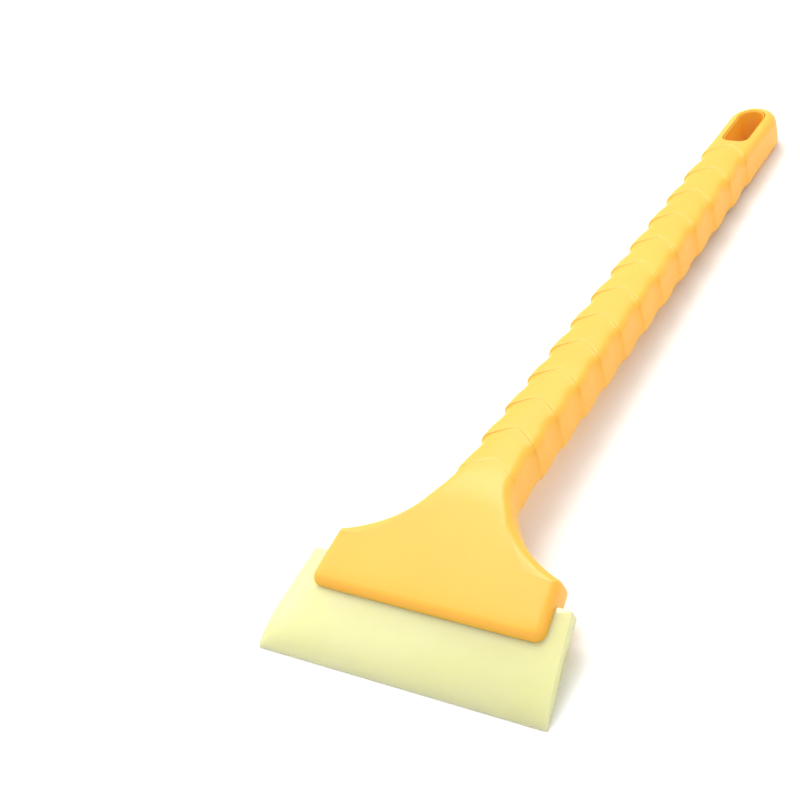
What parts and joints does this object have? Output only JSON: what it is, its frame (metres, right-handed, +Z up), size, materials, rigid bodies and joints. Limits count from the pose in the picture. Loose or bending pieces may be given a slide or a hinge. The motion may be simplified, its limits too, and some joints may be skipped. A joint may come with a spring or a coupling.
{
  "type": "ice scraper",
  "caption": "Long-handled windshield ice scraper: a chevron-ribbed grip with a hanging slot flares into a wide head that holds a translucent bevelled blade.",
  "frame": {"origin": "middle of the bounding box in X and Y, at the height of the surface that the scraper lies on", "axes": "+Y along the handle towards the hanging slot, +Z up, X across the blade"},
  "size_m": [0.1124, 0.321, 0.0277],
  "materials": {
    "handle_plastic": "opaque yellow moulded plastic with a satin gloss",
    "blade_plastic": "smooth translucent pale yellow-green plastic",
    "screw_steel": "zinc-plated steel"
  },
  "bodies": {
    "root": {"handle": "handle_plastic", "blade": "blade_plastic", "blade_screws": "screw_steel"}
  },
  "joints": []
}
